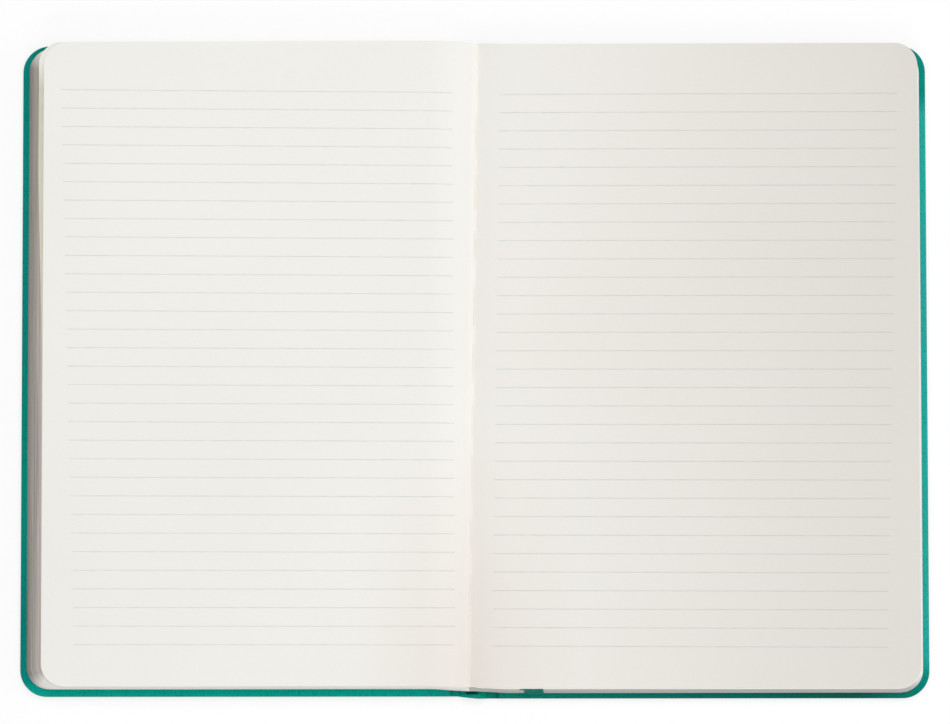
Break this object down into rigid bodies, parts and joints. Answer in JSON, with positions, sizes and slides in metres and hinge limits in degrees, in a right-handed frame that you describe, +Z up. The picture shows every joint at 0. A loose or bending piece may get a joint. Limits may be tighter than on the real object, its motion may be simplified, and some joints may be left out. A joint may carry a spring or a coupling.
{
  "type": "open hardcover notebook",
  "caption": "Open ruled hardcover notebook with wrapped boards, an arched flexible spine, a sewn page block in uneven halves and a ribbon marker.",
  "frame": {"origin": "bottom centre of the open case's bounding box, on the surface that the covers rest on", "axes": "+X to the right across the spread, +Y towards the head of the pages, +Z up out of the pages"},
  "size_m": [0.296, 0.2142, 0.0125],
  "materials": {
    "leatherette": "fine-grained teal leatherette, semi-matt",
    "paper": "smooth ivory writing paper with faint blue-grey ruling",
    "endpaper": "plain ivory endpaper",
    "greyboard": "plain grey bookbinding board",
    "lining_cloth": "open white lining cloth",
    "thread": "waxed ivory sewing thread",
    "ribbon": "teal woven satin ribbon"
  },
  "bodies": {
    "block": {"page_block": "paper", "spine": "leatherette", "spine_lining": "lining_cloth", "sewing_thread": "thread", "ribbon_marker": "ribbon"},
    "front": {"front_cover": "leatherette", "front_board": "greyboard", "front_pastedown": "endpaper"},
    "back": {"back_cover": "leatherette", "back_board": "greyboard", "back_pastedown": "endpaper"}
  },
  "joints": [
    {"name": "front_hinge", "type": "hinge", "parent": "block", "child": "front", "pos_m": [-0.0054, 0, 0.0006], "axis": [0, -1, 0], "range_deg": [0, 90]},
    {"name": "back_hinge", "type": "hinge", "parent": "block", "child": "back", "pos_m": [0.0054, 0, 0.0006], "axis": [0, 1, 0], "range_deg": [0, 90]}
  ]
}
